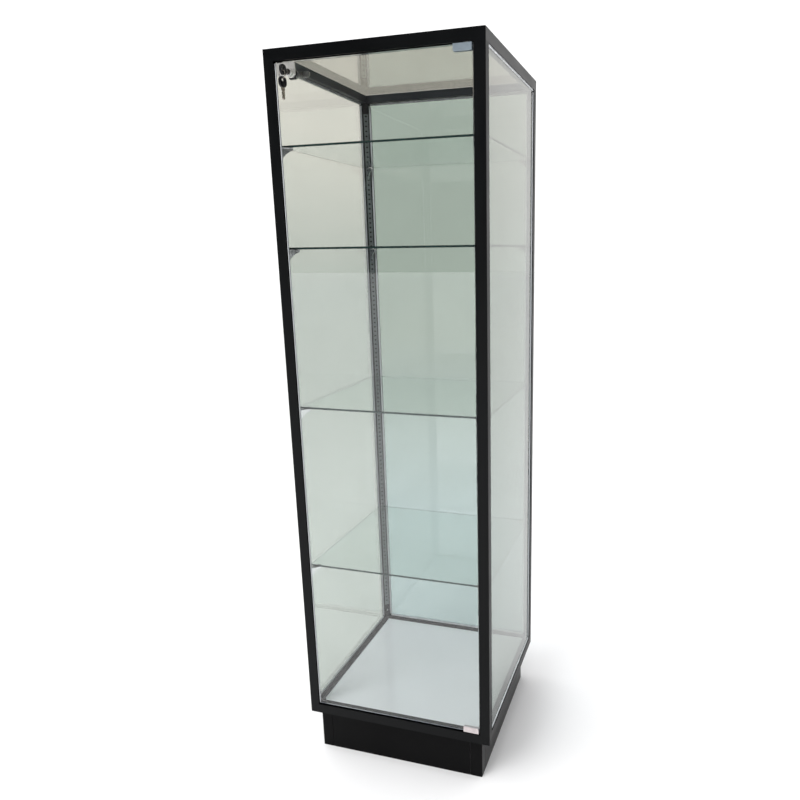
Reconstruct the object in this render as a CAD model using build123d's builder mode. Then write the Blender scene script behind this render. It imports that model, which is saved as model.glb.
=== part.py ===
"""A tall full-vision display case: an aluminium frame round glass, a pivoting glass door with a lock,
four glass shelves on slotted standards, a deck and a kick base. Millimetres, +Z up, front towards -Y.
The origin is on the floor, in the middle of the square frame's footprint."""

import os

from build123d import *

# ---- Driving dimensions: the whole case
FRAME_SIDE = 508.0  # the frame is square in plan
TOTAL_HEIGHT = 1778.0
BASE_HEIGHT = 119.0
BASE_INSET = 23.0  # how far the kick base stands back from the frame, front and rear
BASE_SHIFT = -4.0  # the case stands a little off the middle of its base
HALF = FRAME_SIDE / 2

# ---- Frame extrusions
BAR = 25.4  # width of every post and rail
CORNER_RADIUS = 3.0
LIP = 2.4  # the thin wall outside the glazing groove
GROOVE_WIDTH = 8.0
GROOVE_DEPTH = 8.0
GROOVE_END = LIP + GROOVE_WIDTH
CHAMFER_START = 12.4  # where a post's 45 degree inner face begins on each side
WALL = 2.4
RAIL_CORE_START = 12.8
RAIL_CORE_WIDTH = 10.2
REBATE_DEPTH = 6.0
LEDGE_WIDTH = 9.0
LEDGE_THICKNESS = 3.0
FRAME_BOTTOM = BASE_HEIGHT
POST_BOTTOM = FRAME_BOTTOM + BAR
POST_TOP = TOTAL_HEIGHT - BAR
REBATE_FLOOR = TOTAL_HEIGHT - REBATE_DEPTH
DIAGONAL_FACE = (BAR + CHAMFER_START) / 2 * 2**0.5  # from the outer corner to the 45 degree face

# ---- Channel down the 45 degree face of a post, and what sits in it
CHANNEL_WIDTH = 14.4
CHANNEL_DEPTH = 2.6
KEYWAY_WIDTH = 7.0
KEYWAY_DEPTH = 5.5
CORE_SIDE = 8.0

STANDARD_WIDTH = 14.0
STANDARD_SHEET = 1.2
STANDARD_RECESS = 0.3
STANDARD_BOTTOM = FRAME_BOTTOM + 69.0
STANDARD_TOP = TOTAL_HEIGHT - 53.5
SLOT_PITCH = 13.3
SLOT_WIDTH = 6.4
SLOT_HEIGHT = 4.4
TOP_SLOT = FRAME_BOTTOM + 1600.0
SLOT_COUNT = 115

# ---- Corner connectors
CONNECTOR_LEG = 48.0
CONNECTOR_CLEARANCE = 0.2
LOWER_LEG = 42.5  # how far a lower connector rises into its post
UPPER_LEG = 27.5  # how far an upper one hangs down
CONNECTOR_SCREW_HEIGHT = POST_BOTTOM + 24.0
CONNECTOR_SCREW_RADIUS = 1.95
SCREW_HOLE_RADIUS = 2.0

# ---- Glass and glazing
GLASS = 5.0
GLASS_OFFSET = LIP + (GROOVE_WIDTH - GLASS) / 2
GLASS_EDGE = BAR - GROOVE_DEPTH + 2.0  # from the frame's outside to the edge of a panel
GASKET_WALL = 1.45
GASKET_START = BAR - GROOVE_DEPTH + 0.4
GASKET_SHOW = 4.5  # how far the clear channel stands out of the frame
GLASS_EDGE_CHAMFER = 0.4
TOP_SEAL = 0.5
TOP_GLASS_CLEARANCE = 1.0

# ---- Deck, shelves and brackets
DECK_THICKNESS = 19.0
DECK_CLEARANCE = 0.6
SHELF_THICKNESS = 4.8
SHELF_SIDE_INSET = 14.0
SHELF_END_INSET = 31.5
SHELF_SLOTS = {"shelf_1": 11, "shelf_2": 28, "shelf_3": 57, "shelf_4": 89}  # slots below the top one
BRACKET_LENGTH = 28.0
BRACKET_HEIGHT = 30.0
BRACKET_SHEET = 2.0
BRACKET_HOOK_DROP = 5.0  # from the shelf's underside to the middle of the upper slot

# ---- Kick base
BOARD = 16.0
BASE_CORNER_LEG = 31.0
SEAM = 1.0  # the open joint between a corner piece and a board
BLOCK_SIDE = 30.0
BLOCK_HEIGHT = 80.0
BASE_HALF = HALF - BASE_INSET
BASE_SCREW_RADIUS = 2.0
BASE_SCREW_FROM_EDGE = 7.0  # from a corner block's edge to its screws
BASE_SCREW_TIP = 6.0  # board left whole in front of a screw's hole
LEDGE_SCREW_DEPTH = 31.0  # in from the frame's outside
LEDGE_SCREW_LENGTH = 25.0
BASE_SCREW_SPREAD = 160.0
BASE_SCREW_STAGGER = 12.0  # a corner block's two rows of screws pass each other at different heights
BLOCK_SCREW_HEIGHTS = (BASE_HEIGHT - 20.0, BASE_HEIGHT - 60.0)

# ---- Door and its pivots
DOOR_SIDE_GAP = 2.5
DOOR_END_GAP = 3.0
DOOR_HALF_WIDTH = HALF - BAR - DOOR_SIDE_GAP
DOOR_BOTTOM = POST_BOTTOM + DOOR_END_GAP
DOOR_TOP = POST_TOP - DOOR_END_GAP
GLASS_FRONT = -HALF + GLASS_OFFSET
GLASS_BACK = GLASS_FRONT + GLASS
PIVOT_X = 214.0
PIVOT_Y = -HALF + LIP + GROOVE_WIDTH / 2
PIN_RADIUS = 3.0
PIN_REACH = 6.5
COLLAR_RADIUS = 4.6
COLLAR_THICKNESS = 1.1
BUSH_RADIUS = PIN_RADIUS + 0.06
BUSH_LENGTH = 14.0
CLIP_LENGTH = 40.0
CLIP_RIGHT = 224.5
CLIP_DEPTH = 13.5  # how far a clip reaches over the glass
CLIP_PLATE = 1.9
CLIP_BRIDGE = 1.8
CLIP_CORNER = 3.0
SET_SCREW_RADIUS = 2.0
PAD = 0.6
PAD_INSET = 1.5

# ---- Lock
LOCK_X = -188.0
LOCK_Z = FRAME_BOTTOM + 1607.0
LOCK_PLATE_X = -199.3
LOCK_PLATE_WIDTH = 45.6
LOCK_PLATE_HEIGHT = 27.0
LOCK_PLATE_DROP = 2.0  # from the door's top edge down to the plate
LOCK_PLATE = 4.0
LOCK_PLATE_CORNER = 2.5
LOBE_RADIUS = 10.2  # the plate's round swelling under the barrel
BARREL_RADIUS = 9.0
BARREL_FRONT = -HALF - 10.0
BARREL_BACK = -HALF + BAR + 0.6
GLASS_HOLE_RADIUS = 9.4
PLUG_RADIUS = 6.0
PLUG_CLEARANCE = 0.05
PLUG_FRONT = BARREL_FRONT - 0.4
PLUG_SHOULDER = BARREL_BACK + 0.3  # where the plug's square end for the cam begins
CAM_LENGTH = 34.0
CAM_WIDTH = 12.0
CAM_PLATE = 2.4
CAM_SQUARE = 7.0
CAM_SCREW_RADIUS = 1.5
NUT_ACROSS = 24.0
NUT_THICKNESS = 4.0
NUT_GAP = 1.5  # left for the nut's washer face

# ---- Keys
KEY_SLOT_DEPTH = 18.0
BLADE_THICKNESS = 2.0
BLADE_WIDTH = 7.4
BLADE_LENGTH = 25.0
BLADE_IN_PLUG = 17.0
TANG = 8.0
HEAD_LENGTH = 22.0
HEAD_WIDTH = 21.0
HEAD_THICKNESS = 4.6
HEAD_CORNER = 9.0
HEAD_HOLE_RADIUS = 3.8
HEAD_HOLE_FROM_END = 6.4
RING_RADIUS = 8.4
RING_WIRE = 0.75
RING_SLACK = 1.9  # wire centre to hole centre where a key or the ring hangs
RING_TURN = -12.0  # the ring's plane, turned from the door about the vertical

CORNERS = ("front_left", "front_right", "rear_right", "rear_left")
SIDES = ("front", "right", "rear", "left")  # each runs from the corner of the same number to the next


def save(builder, name):
    """Labels a finished piece and writes it as parts/name.step."""
    builder.part.label = name
    export_step(builder.part, f"parts/{name}.step")


def corner_plane(corner, height, half=HALF):
    """Level plane on an outer corner: X runs along one side, Y along the other, both into the case."""
    turn = 90.0 * corner
    middle = Plane.XY.rotated((0, 0, turn))
    return Plane(
        origin=middle.from_local_coords((-half, -half, height)),
        x_dir=middle.x_dir,
        z_dir=(0, 0, 1),
    )


def base_plane(corner, height):
    """The same plane on an outer corner of the kick base."""
    plane = corner_plane(corner, height, BASE_HALF)
    return Plane(origin=plane.origin + Vector(BASE_SHIFT, 0, 0), x_dir=plane.x_dir, z_dir=plane.z_dir)


def diagonal_plane(corner, height):
    """Level plane on a post's 45 degree face: X points straight into the case, Y lies along the face."""
    base = corner_plane(corner, height)
    reach = DIAGONAL_FACE / 2**0.5
    inward = base.x_dir + base.y_dir
    return Plane(origin=base.from_local_coords((reach, reach, 0)), x_dir=inward, z_dir=(0, 0, 1))


def section_plane(outer, start=0.0):
    """Upright plane across a side's run, from the plane on that side's first corner: X points into the
    case, Y up, and the run goes along Z."""
    return Plane(origin=outer.from_local_coords((start, 0, 0)), x_dir=outer.y_dir, z_dir=outer.x_dir)


def block(x_low, x_high, y_low, y_high, mode=Mode.ADD):
    """A rectangle between two pairs of limits, for use inside a sketch."""
    with Locations(((x_low + x_high) / 2, (y_low + y_high) / 2)):
        Rectangle(x_high - x_low, y_high - y_low, mode=mode)


def post(corner):
    """A corner post: two glazing grooves, a 45 degree inner face with its channel, and a hollow core."""
    with BuildPart() as body:
        with BuildSketch(corner_plane(corner, POST_BOTTOM)) as section:
            with BuildLine():
                Polyline(
                    (0, 0), (BAR, 0), (BAR, CHAMFER_START), (CHAMFER_START, BAR), (0, BAR), close=True
                )
            make_face()
            fillet(section.vertices().sort_by_distance((0, 0, 0))[0], CORNER_RADIUS)
            block(BAR - GROOVE_DEPTH, BAR, LIP, GROOVE_END, mode=Mode.SUBTRACT)
            block(LIP, GROOVE_END, BAR - GROOVE_DEPTH, BAR, mode=Mode.SUBTRACT)
            block(LIP, LIP + CORE_SIDE, LIP, LIP + CORE_SIDE, mode=Mode.SUBTRACT)
        extrude(amount=POST_TOP - POST_BOTTOM)
        with BuildSketch(diagonal_plane(corner, POST_BOTTOM)):
            block(-CHANNEL_DEPTH, 1, -CHANNEL_WIDTH / 2, CHANNEL_WIDTH / 2)
            block(-CHANNEL_DEPTH - KEYWAY_DEPTH, 0, -KEYWAY_WIDTH / 2, KEYWAY_WIDTH / 2)
        extrude(amount=POST_TOP - POST_BOTTOM, mode=Mode.SUBTRACT)
        with BuildSketch(face_plane(corner, CONNECTOR_SCREW_HEIGHT)):
            Circle(SCREW_HOLE_RADIUS)
        extrude(amount=-CHANNEL_DEPTH - KEYWAY_DEPTH - WALL, mode=Mode.SUBTRACT)
    return body


def face_plane(corner, height):
    """Upright plane on a post's 45 degree face, looking straight into the case."""
    level = diagonal_plane(corner, height)
    return Plane(origin=level.origin, x_dir=level.y_dir, z_dir=level.x_dir)


def mitre(side):
    """Cuts both ends of the rail in hand at 45 degrees, and rounds them to the frame's outline."""
    start = corner_plane(side, 0)
    end = corner_plane((side + 1) % 4, 0)
    split(bisect_by=Plane(origin=start.origin, z_dir=start.x_dir - start.y_dir), keep=Keep.TOP)
    split(bisect_by=Plane(origin=end.origin, z_dir=end.y_dir - end.x_dir), keep=Keep.TOP)
    with BuildSketch() as outline:
        RectangleRounded(FRAME_SIDE, FRAME_SIDE, CORNER_RADIUS)
    extrude(outline.sketch, amount=TOTAL_HEIGHT, mode=Mode.INTERSECT)


def connector_hole(side, height, into_rail):
    """Opens the rail in hand for the connectors' upright legs; into_rail is 1 upwards, -1 downwards."""
    for corner in (side, (side + 1) % 4):
        with BuildSketch(diagonal_plane(corner, height)) as opening:
            leg_section(CONNECTOR_CLEARANCE / 2)
        extrude(opening.sketch, amount=into_rail * (WALL + 0.6), mode=Mode.SUBTRACT)


def leg_section(ease):
    """The T section of a connector's upright leg, eased outwards by a clearance."""
    half_plate = CHANNEL_WIDTH / 2 - CONNECTOR_CLEARANCE + ease
    half_rib = KEYWAY_WIDTH / 2 - CONNECTOR_CLEARANCE + ease
    plate_back = -CHANNEL_DEPTH + CONNECTOR_CLEARANCE - ease
    block(plate_back, ease - STANDARD_RECESS, -half_plate, half_plate)
    block(plate_back - KEYWAY_DEPTH, plate_back, -half_rib, half_rib)


def bottom_rail(side):
    """A bottom rail: glazing groove upwards, two hollow cores, and a ledge that carries the deck."""
    with BuildPart() as body:
        with BuildSketch(section_plane(corner_plane(side, FRAME_BOTTOM))):
            block(0, BAR, 0, BAR)
            block(BAR, BAR + LEDGE_WIDTH, 0, LEDGE_THICKNESS)
            block(LIP, GROOVE_END, BAR - GROOVE_DEPTH, BAR, mode=Mode.SUBTRACT)
            block(LIP, GROOVE_END, WALL, BAR - GROOVE_DEPTH - WALL, mode=Mode.SUBTRACT)
            block(
                RAIL_CORE_START, RAIL_CORE_START + RAIL_CORE_WIDTH, WALL, BAR - WALL, mode=Mode.SUBTRACT
            )
        extrude(amount=FRAME_SIDE)
        mitre(side)
        connector_hole(side, POST_BOTTOM, -1)
        with BuildSketch(corner_plane(side, FRAME_BOTTOM + LEDGE_THICKNESS)):
            with Locations(*ledge_screw_places()):
                Circle(SCREW_HOLE_RADIUS)
        extrude(amount=-LEDGE_THICKNESS, mode=Mode.SUBTRACT)
    return body


def ledge_screw_places():
    """Where the screws from the ledge into the base stand, along a side and in from its outside."""
    spread = BASE_SCREW_SPREAD / 2
    return [(HALF - spread, LEDGE_SCREW_DEPTH), (HALF + spread, LEDGE_SCREW_DEPTH)]


def top_rail(side):
    """A top rail: glazing groove downwards, a rebate for the top glass, and two hollow cores."""
    with BuildPart() as body:
        with BuildSketch(section_plane(corner_plane(side, POST_TOP))):
            block(0, BAR, 0, BAR)
            block(LIP, BAR, BAR - REBATE_DEPTH, BAR, mode=Mode.SUBTRACT)
            block(LIP, GROOVE_END, 0, GROOVE_DEPTH, mode=Mode.SUBTRACT)
            block(
                LIP, GROOVE_END, GROOVE_DEPTH + WALL, BAR - REBATE_DEPTH - WALL, mode=Mode.SUBTRACT
            )
            block(
                RAIL_CORE_START,
                RAIL_CORE_START + RAIL_CORE_WIDTH,
                WALL,
                BAR - REBATE_DEPTH - WALL,
                mode=Mode.SUBTRACT,
            )
        extrude(amount=FRAME_SIDE)
        mitre(side)
        connector_hole(side, POST_TOP, 1)
    return body


def connector(corner, leg_end, core_low, core_high):
    """A three-way corner connector: two legs in the rails' cores, and one up or down in the post."""
    low = RAIL_CORE_START + CONNECTOR_CLEARANCE
    high = RAIL_CORE_START + RAIL_CORE_WIDTH - CONNECTOR_CLEARANCE
    floor = core_low + CONNECTOR_CLEARANCE
    ceiling = core_high - CONNECTOR_CLEARANCE
    with BuildPart() as body:
        with BuildSketch(corner_plane(corner, floor)):
            block(low, CONNECTOR_LEG, low, high)
            block(low, high, low, CONNECTOR_LEG)
        extrude(amount=ceiling - floor)
        leg_start = ceiling if leg_end > ceiling else floor
        with BuildSketch(diagonal_plane(corner, leg_start)):
            leg_section(0)
        extrude(amount=leg_end - leg_start)
        if leg_end > ceiling:
            with BuildSketch(face_plane(corner, CONNECTOR_SCREW_HEIGHT)):
                Circle(SCREW_HOLE_RADIUS)
            extrude(amount=-CHANNEL_DEPTH - KEYWAY_DEPTH, mode=Mode.SUBTRACT)
    return body


def corner_connectors():
    """All eight connectors, as separate solids; the lower four are screwed to their posts."""
    with BuildPart() as group:
        for corner in range(4):
            add(connector(corner, POST_BOTTOM + LOWER_LEG, FRAME_BOTTOM + WALL, POST_BOTTOM - WALL).part)
            add(connector(corner, POST_TOP - UPPER_LEG, POST_TOP + WALL, REBATE_FLOOR - WALL).part)
    return group


def cross_slot(face, depth, length, width=0.8):
    """Cuts a screwdriver's cross into the screw in hand."""
    with BuildSketch(face) as cross:
        Rectangle(length, width)
        Rectangle(width, length)
    extrude(cross.sketch, amount=-depth, mode=Mode.SUBTRACT)


def connector_screws():
    """Pan head screws through the lower connectors' upright legs, one at the foot of each post."""
    head_radius, head_height, head_round = 3.3, 1.8, 0.8
    shank = CHANNEL_DEPTH + KEYWAY_DEPTH + WALL - STANDARD_RECESS
    with BuildPart() as group:
        for corner in range(4):
            face = face_plane(corner, CONNECTOR_SCREW_HEIGHT).offset(-STANDARD_RECESS)
            with BuildSketch(face):
                Circle(CONNECTOR_SCREW_RADIUS)
            extrude(amount=-shank)
            with BuildSketch(face):
                Circle(head_radius)
            extrude(amount=head_height)
            cross_slot(face.offset(head_height), depth=0.9, length=4.0)
        fillet(group.edges().filter_by(GeomType.CIRCLE).filter_by(is_head_rim), head_round)
    return group


def is_head_rim(edge):
    """True for the outer rim of a connector screw's head."""
    point = edge.arc_center
    plane_distance = (abs(point.X) + abs(point.Y)) / 2**0.5
    face_distance = HALF * 2**0.5 - DIAGONAL_FACE
    return edge.radius > 3.0 and plane_distance < face_distance - 1.0


def wall_glass(side):
    """A glass wall, held all round in the grooves."""
    with BuildPart() as body:
        low = FRAME_BOTTOM + GLASS_EDGE
        with BuildSketch(section_plane(corner_plane(side, 0), GLASS_EDGE)):
            block(GLASS_OFFSET, GLASS_OFFSET + GLASS, low, TOTAL_HEIGHT - GLASS_EDGE)
        extrude(amount=FRAME_SIDE - 2 * GLASS_EDGE)
        chamfer(body.edges(), GLASS_EDGE_CHAMFER)
    return body


def gasket_section():
    """The clear U section round a glass edge; sketch X is across the groove, Y out of it."""
    show = BAR + GASKET_SHOW
    outer = GLASS_OFFSET - GASKET_WALL
    block(outer, GLASS_OFFSET + GLASS + GASKET_WALL, GASKET_START, show)
    block(GLASS_OFFSET, GLASS_OFFSET + GLASS, GLASS_EDGE, show, mode=Mode.SUBTRACT)


def wall_gasket(side):
    """Four lengths of clear glazing channel round one glass wall, stopping short at its corners."""
    end_gap, side_gap = 6.5, 4.0
    corner = corner_plane(side, 0)
    run = FRAME_SIDE - 2 * BAR - 2 * side_gap
    rise = POST_TOP - POST_BOTTOM - 2 * end_gap
    start = corner.from_local_coords((BAR + side_gap, 0, FRAME_BOTTOM))
    start_top = corner.from_local_coords((FRAME_SIDE - BAR - side_gap, 0, TOTAL_HEIGHT))
    left = corner.from_local_coords((0, 0, POST_BOTTOM + end_gap))
    right = corner.from_local_coords((FRAME_SIDE, 0, POST_TOP - end_gap))
    with BuildPart() as body:
        with BuildSketch(Plane(origin=start, x_dir=corner.y_dir, z_dir=corner.x_dir)):
            gasket_section()
        extrude(amount=run)
        with BuildSketch(Plane(origin=start_top, x_dir=corner.y_dir, z_dir=-corner.x_dir)):
            gasket_section()
        extrude(amount=run)
        with BuildSketch(Plane(origin=left, x_dir=corner.y_dir, z_dir=(0, 0, -1))):
            gasket_section()
        extrude(amount=-rise)
        with BuildSketch(Plane(origin=right, x_dir=corner.y_dir, z_dir=(0, 0, 1))):
            gasket_section()
        extrude(amount=-rise)
    return body


def standard(corner):
    """A slotted shelf standard: a shallow channel of sheet with a row of slots down its face."""
    with BuildPart() as body:
        with BuildSketch(diagonal_plane(corner, STANDARD_BOTTOM)):
            half = STANDARD_WIDTH / 2
            front = -STANDARD_RECESS
            block(-CHANNEL_DEPTH, front, -half, half)
            block(
                -CHANNEL_DEPTH,
                front - STANDARD_SHEET,
                STANDARD_SHEET - half,
                half - STANDARD_SHEET,
                mode=Mode.SUBTRACT,
            )
        extrude(amount=STANDARD_TOP - STANDARD_BOTTOM)
        with BuildSketch(face_plane(corner, 0)):
            for slot in range(SLOT_COUNT):
                with Locations((0, TOP_SLOT - slot * SLOT_PITCH)):
                    SlotOverall(SLOT_WIDTH, SLOT_HEIGHT)
        extrude(amount=-CHANNEL_DEPTH, mode=Mode.SUBTRACT)
    return body


def shelf_underside(name):
    """Height of a shelf's underside, from the slot that its brackets hook into."""
    return TOP_SLOT - SHELF_SLOTS[name] * SLOT_PITCH + BRACKET_HOOK_DROP


def shelf(name):
    """A glass shelf with polished edges."""
    with BuildPart() as body:
        with BuildSketch(Plane.XY.offset(shelf_underside(name))):
            RectangleRounded(FRAME_SIDE - 2 * SHELF_SIDE_INSET, FRAME_SIDE - 2 * SHELF_END_INSET, 3.0)
        extrude(amount=SHELF_THICKNESS)
        chamfer(body.edges().group_by(Axis.Z)[0] + body.edges().group_by(Axis.Z)[-1], 0.5)
    return body


def bracket_outline():
    """Side view of a bracket's web; sketch X is out from the standard, Y up from the shelf's underside."""
    face = -STANDARD_RECESS
    nib_height, nib_width, tip_height = 7.0, 2.4, 5.5
    with BuildLine() as outline:
        Polyline(
            (face, -BRACKET_HEIGHT),
            (face, nib_height),
            (nib_width, nib_height),
            (nib_width, -0.8),
            (BRACKET_LENGTH, -0.8),
            (BRACKET_LENGTH, -tip_height),
        )
        ThreePointArc(
            (BRACKET_LENGTH, -tip_height),
            (BRACKET_LENGTH * 0.42, -BRACKET_HEIGHT * 0.50),
            (face, -BRACKET_HEIGHT),
        )
    make_face(outline.edges())


def hook_outline():
    """The two hooks behind a bracket's web, which drop behind the standard's sheet."""
    hook_height, lip_thickness, lip_drop = 2.6, 1.3, 2.6
    face = -STANDARD_RECESS
    behind = face - STANDARD_SHEET - 0.1
    for slot in range(2):
        low = -BRACKET_HOOK_DROP - slot * SLOT_PITCH - SLOT_HEIGHT / 2
        block(behind - lip_thickness, face, low, low + hook_height)
        block(behind - lip_thickness, behind, low - lip_drop, low)


def brackets(name):
    """The four brackets of one shelf, one on each standard, as separate solids."""
    flange_width, tip_width, flange_thickness, flange_start = 12.0, 8.0, 1.6, 4.0
    half_sheet = BRACKET_SHEET / 2
    underside = shelf_underside(name)
    with BuildPart() as group:
        for corner in range(4):
            level = diagonal_plane(corner, underside)
            side_view = Plane(origin=level.origin, x_dir=level.x_dir, z_dir=-level.y_dir)
            with BuildSketch(side_view):
                bracket_outline()
                hook_outline()
            extrude(amount=half_sheet, both=True)
            with BuildSketch(level):
                with BuildLine():
                    Polyline(
                        (flange_start, -flange_width / 2),
                        (BRACKET_LENGTH, -tip_width / 2),
                        (BRACKET_LENGTH, tip_width / 2),
                        (flange_start, flange_width / 2),
                        close=True,
                    )
                make_face()
            extrude(amount=-flange_thickness)
    return group


def deck():
    """The laminated board that closes the bottom of the case, lying on the rails' ledges."""
    side = FRAME_SIDE - 2 * (BAR + DECK_CLEARANCE)
    with BuildPart() as body:
        with BuildSketch(Plane.XY.offset(FRAME_BOTTOM + LEDGE_THICKNESS)):
            Rectangle(side, side)
        extrude(amount=DECK_THICKNESS)
        chamfer(body.edges().group_by(Axis.Z)[-1], 0.5)
    return body


def top_glass():
    """The glass top, lying in the rails' rebate."""
    side = FRAME_SIDE - 2 * (LIP + TOP_GLASS_CLEARANCE)
    with BuildPart() as body:
        with BuildSketch(Plane.XY.offset(REBATE_FLOOR + TOP_SEAL)):
            RectangleRounded(side, side, 2.0)
        extrude(amount=GLASS)
        chamfer(body.edges().group_by(Axis.Z)[-1], 0.5)
    return body


def top_seal():
    """A thin clear seal between the rebate and the glass top."""
    outer = FRAME_SIDE - 2 * (LIP + 2 * TOP_GLASS_CLEARANCE)
    inner = FRAME_SIDE - 2 * (BAR - 2.0)
    with BuildPart() as body:
        with BuildSketch(Plane.XY.offset(REBATE_FLOOR)):
            Rectangle(outer, outer)
            Rectangle(inner, inner, mode=Mode.SUBTRACT)
        extrude(amount=TOP_SEAL)
    return body


def base_board(side):
    """One side of the kick base, between two corner pieces."""
    start = BASE_CORNER_LEG + SEAM
    length = 2 * BASE_HALF - 2 * start
    near = block_screw_along()
    far = 2 * BASE_HALF - near
    outer = base_plane(side, 0)
    with BuildPart() as body:
        with BuildSketch(section_plane(outer, start)):
            block(0, BOARD, 0, BASE_HEIGHT)
        extrude(amount=length)
        inner_face = Plane(
            origin=outer.from_local_coords((0, BOARD, 0)), x_dir=outer.x_dir, z_dir=-outer.y_dir
        )
        with BuildSketch(inner_face):
            for along, drop in ((near, 0), (far, BASE_SCREW_STAGGER)):
                for height in BLOCK_SCREW_HEIGHTS:
                    with Locations((along, height - drop)):
                        Circle(BASE_SCREW_RADIUS)
        extrude(amount=BOARD - BASE_SCREW_TIP, mode=Mode.SUBTRACT)
        with BuildSketch(corner_plane(side, BASE_HEIGHT)):
            with Locations(*ledge_screw_places()):
                Circle(BASE_SCREW_RADIUS)
        extrude(amount=-LEDGE_SCREW_LENGTH, mode=Mode.SUBTRACT)
    return body


def block_screw_along():
    """How far along a side, from the base's corner, the screws through a corner block stand."""
    return BOARD + BLOCK_SIDE - BASE_SCREW_FROM_EDGE


def base_corner(corner):
    """An L shaped corner piece of the kick base, with a softened outer edge."""
    with BuildPart() as body:
        with BuildSketch(base_plane(corner, 0)) as section:
            block(0, BASE_CORNER_LEG, 0, BOARD)
            block(0, BOARD, 0, BASE_CORNER_LEG)
            fillet(section.vertices().sort_by_distance((0, 0, 0))[0], CORNER_RADIUS)
        extrude(amount=BASE_HEIGHT)
    return body


def base_corners():
    """The four corner pieces of the kick base, as separate solids."""
    with BuildPart() as group:
        for corner in range(4):
            add(base_corner(corner).part)
    return group


def base_blocks():
    """Glue blocks inside the kick base's corners, as separate solids."""
    with BuildPart() as group:
        for corner in range(4):
            outer = base_plane(corner, BASE_HEIGHT)
            with BuildSketch(outer):
                block(BOARD, BOARD + BLOCK_SIDE, BOARD, BOARD + BLOCK_SIDE)
            extrude(amount=-BLOCK_HEIGHT)
            for across, other in ((outer.x_dir, outer.y_dir), (outer.y_dir, outer.x_dir)):
                for height in BLOCK_SCREW_HEIGHTS:
                    with BuildSketch(block_screw_plane(outer, across, other, height)):
                        Circle(BASE_SCREW_RADIUS)
                    extrude(amount=-BLOCK_SIDE, mode=Mode.SUBTRACT)
    return group


def block_screw_plane(outer, across, other, height):
    """Plane on a corner block's inner face, on the axis of one screw, looking into the case."""
    drop = 0 if across == outer.x_dir else BASE_SCREW_STAGGER
    point = (
        outer.origin
        + across * block_screw_along()
        + other * (BOARD + BLOCK_SIDE)
        + Vector(0, 0, height - drop - BASE_HEIGHT)
    )
    return Plane(origin=point, x_dir=across, z_dir=other)


def base_screws():
    """Every screw of the base: through the blocks into the boards, and down through the rails' ledges."""
    head_radius, head_height = 3.8, 2.4
    reach = BLOCK_SIDE + BOARD - BASE_SCREW_TIP - 1.0
    shank = BASE_SCREW_RADIUS - 0.1
    with BuildPart() as group:
        for corner in range(4):
            outer = base_plane(corner, BASE_HEIGHT)
            for across, other in ((outer.x_dir, outer.y_dir), (outer.y_dir, outer.x_dir)):
                for height in BLOCK_SCREW_HEIGHTS:
                    face = block_screw_plane(outer, across, other, height)
                    with BuildSketch(face):
                        Circle(shank)
                    extrude(amount=-reach)
                    with BuildSketch(face):
                        Circle(head_radius)
                    extrude(amount=head_height)
        for side in range(4):
            with BuildSketch(corner_plane(side, FRAME_BOTTOM + LEDGE_THICKNESS)):
                with Locations(*ledge_screw_places()):
                    Circle(shank)
            extrude(amount=-LEDGE_SCREW_LENGTH)
    return group


def door_glass():
    """The frameless glass door, drilled for the lock."""
    with BuildPart() as body:
        with BuildSketch(Plane.XZ.offset(-GLASS_FRONT)):
            block(-DOOR_HALF_WIDTH, DOOR_HALF_WIDTH, DOOR_BOTTOM, DOOR_TOP)
            with Locations((LOCK_X, LOCK_Z)):
                Circle(GLASS_HOLE_RADIUS, mode=Mode.SUBTRACT)
        extrude(amount=-GLASS)
        chamfer(body.edges().filter_by(GeomType.LINE), 0.6)
    return body


def hinge_clip(end, out):
    """A metal U clip over a glass edge. end is that edge's height, out is 1 above it and -1 below."""
    plate_front = GLASS_FRONT - PAD - CLIP_PLATE
    plate_back = GLASS_BACK + PAD + CLIP_PLATE
    with BuildPart() as body:
        with BuildSketch(Plane.YZ.offset(CLIP_RIGHT - CLIP_LENGTH)):
            block(plate_front, plate_back, *sorted((end - out * CLIP_DEPTH, end + out * CLIP_BRIDGE)))
            block(
                GLASS_FRONT - PAD,
                GLASS_BACK + PAD,
                *sorted((end - out * CLIP_DEPTH, end)),
                mode=Mode.SUBTRACT,
            )
        extrude(amount=CLIP_LENGTH)
        free_side = 0 if out > 0 else -1
        across = body.edges().filter_by(Axis.Y)
        fillet(across.group_by(Axis.Z)[free_side], CLIP_CORNER)
        with BuildSketch(Plane.XY.offset(end)):
            with Locations((PIVOT_X, PIVOT_Y)):
                Circle(PIN_RADIUS)
        extrude(amount=out * CLIP_BRIDGE, mode=Mode.SUBTRACT)
        with BuildSketch(Plane.XZ.offset(-plate_back)):
            with Locations(*set_screw_places(end, out)):
                Circle(SET_SCREW_RADIUS)
        extrude(amount=CLIP_PLATE, mode=Mode.SUBTRACT)
    return body


def set_screw_places(end, out):
    """Where a clip's two set screws stand, as X and Z."""
    middle = end - out * CLIP_DEPTH * 0.55
    return [(CLIP_RIGHT - CLIP_LENGTH * 0.25, middle), (CLIP_RIGHT - CLIP_LENGTH * 0.75, middle)]


def hinge_pads():
    """Clear pads between the clips and the glass, front and back, as separate solids."""
    with BuildPart() as group:
        for end, out in ((DOOR_TOP, 1), (DOOR_BOTTOM, -1)):
            z_limits = sorted((end - out * (CLIP_DEPTH - PAD_INSET), end - out * PAD))
            for face in (GLASS_FRONT - PAD, GLASS_BACK):
                with BuildSketch(Plane.XZ.offset(-face)):
                    block(CLIP_RIGHT - CLIP_LENGTH + PAD_INSET, CLIP_RIGHT - PAD_INSET, *z_limits)
                extrude(amount=-PAD)
    return group


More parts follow.
